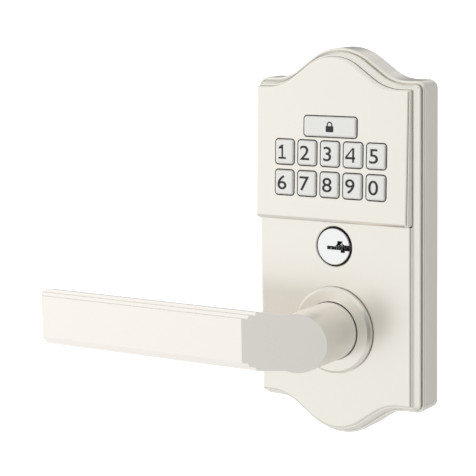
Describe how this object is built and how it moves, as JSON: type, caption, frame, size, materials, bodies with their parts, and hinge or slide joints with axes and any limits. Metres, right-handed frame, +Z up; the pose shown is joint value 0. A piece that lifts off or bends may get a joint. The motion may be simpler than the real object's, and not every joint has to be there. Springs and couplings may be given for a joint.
{
  "type": "keypad lever lock",
  "caption": "Outside half of an electronic door lock: arched metal plate with a raised keypad, a key override cylinder and a straight sprung lever on a round collar.",
  "frame": {"origin": "on the lever's turning axis, in the plane of the door's outside face, midway between the two bolt posts", "axes": "+X to the right seen from outside, +Y into the door along the lever's axis, +Z up"},
  "size_m": [0.1622, 0.0997, 0.1586],
  "materials": {
    "satin_nickel": "satin nickel plate",
    "polished_chrome": "polished",
    "key_silver": "fine satin silver",
    "zinc_steel": "bright zinc plate",
    "screw_steel": "machined",
    "spring_steel": "drawn wire",
    "brass": "machined",
    "black_plastic": "moulded",
    "white_nylon": "moulded",
    "board_green": "solder mask",
    "chip_black": "epoxy package",
    "led_white": "clear resin",
    "silicone": "translucent silicone",
    "foam": "closed-cell foam",
    "seal_rubber": "moulded"
  },
  "bodies": {
    "escutcheon": {"escutcheon_housing": "satin_nickel", "keypad_panel": "satin_nickel", "panel_screws": "screw_steel", "keypad_membrane": "silicone", "circuit_board": "board_green", "dome_switches": "spring_steel", "backlight_leds": "led_white", "controller_chip": "chip_black", "buzzer": "black_plastic", "cable_socket": "white_nylon", "board_screws": "screw_steel", "cylinder_body": "brass", "cylinder_screws": "screw_steel", "cylinder_seal": "seal_rubber", "mounting_plate": "zinc_steel", "plate_screws": "screw_steel", "foam_gasket": "foam", "mounting_post_left": "zinc_steel", "mounting_post_right": "zinc_steel", "rose_collar": "satin_nickel", "hub_bushing": "white_nylon", "lever_return_spring": "spring_steel", "clutch_guide": "black_plastic", "guide_screws": "screw_steel", "clutch_motor": "zinc_steel", "motor_bracket": "zinc_steel", "motor_screws": "screw_steel", "clutch_spring": "spring_steel"},
    "lever": {"lever_handle": "satin_nickel", "lever_sleeve": "zinc_steel", "lever_set_screw": "screw_steel", "hub_circlip": "spring_steel", "hub_washer": "screw_steel"},
    "spindle": {"clutch_driver": "zinc_steel", "latch_spindle": "zinc_steel"},
    "dog": {"clutch_dog": "screw_steel"},
    "slide": {"clutch_slide": "black_plastic"},
    "pinion": {"motor_pinion": "brass", "motor_shaft": "screw_steel"},
    "plug": {"cylinder_plug": "polished_chrome", "plug_wafers": "brass", "cylinder_cam": "zinc_steel", "cam_screw": "screw_steel"},
    "key_0_cap": {"key_0": "key_silver"},
    "key_1_cap": {"key_1": "key_silver"},
    "key_2_cap": {"key_2": "key_silver"},
    "key_3_cap": {"key_3": "key_silver"},
    "key_4_cap": {"key_4": "key_silver"},
    "key_5_cap": {"key_5": "key_silver"},
    "key_6_cap": {"key_6": "key_silver"},
    "key_7_cap": {"key_7": "key_silver"},
    "key_8_cap": {"key_8": "key_silver"},
    "key_9_cap": {"key_9": "key_silver"},
    "wake_key_cap": {"wake_key": "key_silver"}
  },
  "joints": [
    {"name": "lever_turn", "type": "hinge", "parent": "escutcheon", "child": "lever", "pos_m": [0, -0.02, 0], "axis": [0, -1, 0], "range_deg": [0, 50], "stiffness_Nm_per_rad": 1.1, "springref_deg": -20.05},
    {"name": "spindle_turn", "type": "hinge", "parent": "escutcheon", "child": "spindle", "pos_m": [0, 0, 0], "axis": [0, -1, 0], "range_deg": [0, 50]},
    {"name": "clutch_travel", "type": "slide", "parent": "escutcheon", "child": "slide", "axis": [0, 0, 1], "range_m": [0, 0.0026], "deforming": ["clutch_spring"]},
    {"name": "dog_travel", "type": "slide", "parent": "lever", "child": "dog", "axis": [0, 0, 1], "range_m": [0, 0.0026]},
    {"name": "pinion_spin", "type": "hinge", "parent": "escutcheon", "child": "pinion", "pos_m": [0, -0.0063, 0.018], "axis": [1, 0, 0], "range_deg": [-56, 0]},
    {"name": "plug_turn", "type": "hinge", "parent": "escutcheon", "child": "plug", "pos_m": [0, -0.0185, 0.0343], "axis": [0, 1, 0], "range_deg": [0, 90]},
    {"name": "key_0_press", "type": "slide", "parent": "escutcheon", "child": "key_0_cap", "axis": [0, 1, 0], "range_m": [0, 0.0009], "stiffness_N_per_m": 1500, "springref_m": -0.0006},
    {"name": "key_1_press", "type": "slide", "parent": "escutcheon", "child": "key_1_cap", "axis": [0, 1, 0], "range_m": [0, 0.0009], "stiffness_N_per_m": 1500, "springref_m": -0.0006},
    {"name": "key_2_press", "type": "slide", "parent": "escutcheon", "child": "key_2_cap", "axis": [0, 1, 0], "range_m": [0, 0.0009], "stiffness_N_per_m": 1500, "springref_m": -0.0006},
    {"name": "key_3_press", "type": "slide", "parent": "escutcheon", "child": "key_3_cap", "axis": [0, 1, 0], "range_m": [0, 0.0009], "stiffness_N_per_m": 1500, "springref_m": -0.0006},
    {"name": "key_4_press", "type": "slide", "parent": "escutcheon", "child": "key_4_cap", "axis": [0, 1, 0], "range_m": [0, 0.0009], "stiffness_N_per_m": 1500, "springref_m": -0.0006},
    {"name": "key_5_press", "type": "slide", "parent": "escutcheon", "child": "key_5_cap", "axis": [0, 1, 0], "range_m": [0, 0.0009], "stiffness_N_per_m": 1500, "springref_m": -0.0006},
    {"name": "key_6_press", "type": "slide", "parent": "escutcheon", "child": "key_6_cap", "axis": [0, 1, 0], "range_m": [0, 0.0009], "stiffness_N_per_m": 1500, "springref_m": -0.0006},
    {"name": "key_7_press", "type": "slide", "parent": "escutcheon", "child": "key_7_cap", "axis": [0, 1, 0], "range_m": [0, 0.0009], "stiffness_N_per_m": 1500, "springref_m": -0.0006},
    {"name": "key_8_press", "type": "slide", "parent": "escutcheon", "child": "key_8_cap", "axis": [0, 1, 0], "range_m": [0, 0.0009], "stiffness_N_per_m": 1500, "springref_m": -0.0006},
    {"name": "key_9_press", "type": "slide", "parent": "escutcheon", "child": "key_9_cap", "axis": [0, 1, 0], "range_m": [0, 0.0009], "stiffness_N_per_m": 1500, "springref_m": -0.0006},
    {"name": "wake_key_press", "type": "slide", "parent": "escutcheon", "child": "wake_key_cap", "axis": [0, 1, 0], "range_m": [0, 0.0009], "stiffness_N_per_m": 1500, "springref_m": -0.0006}
  ],
  "couplings": [
    {"joint": "spindle_turn", "follows": "lever_turn", "ratio": 1},
    {"joint": "dog_travel", "follows": "clutch_travel", "ratio": 1},
    {"joint": "pinion_spin", "follows": "clutch_travel", "rad_per_m": -370.37}
  ]
}
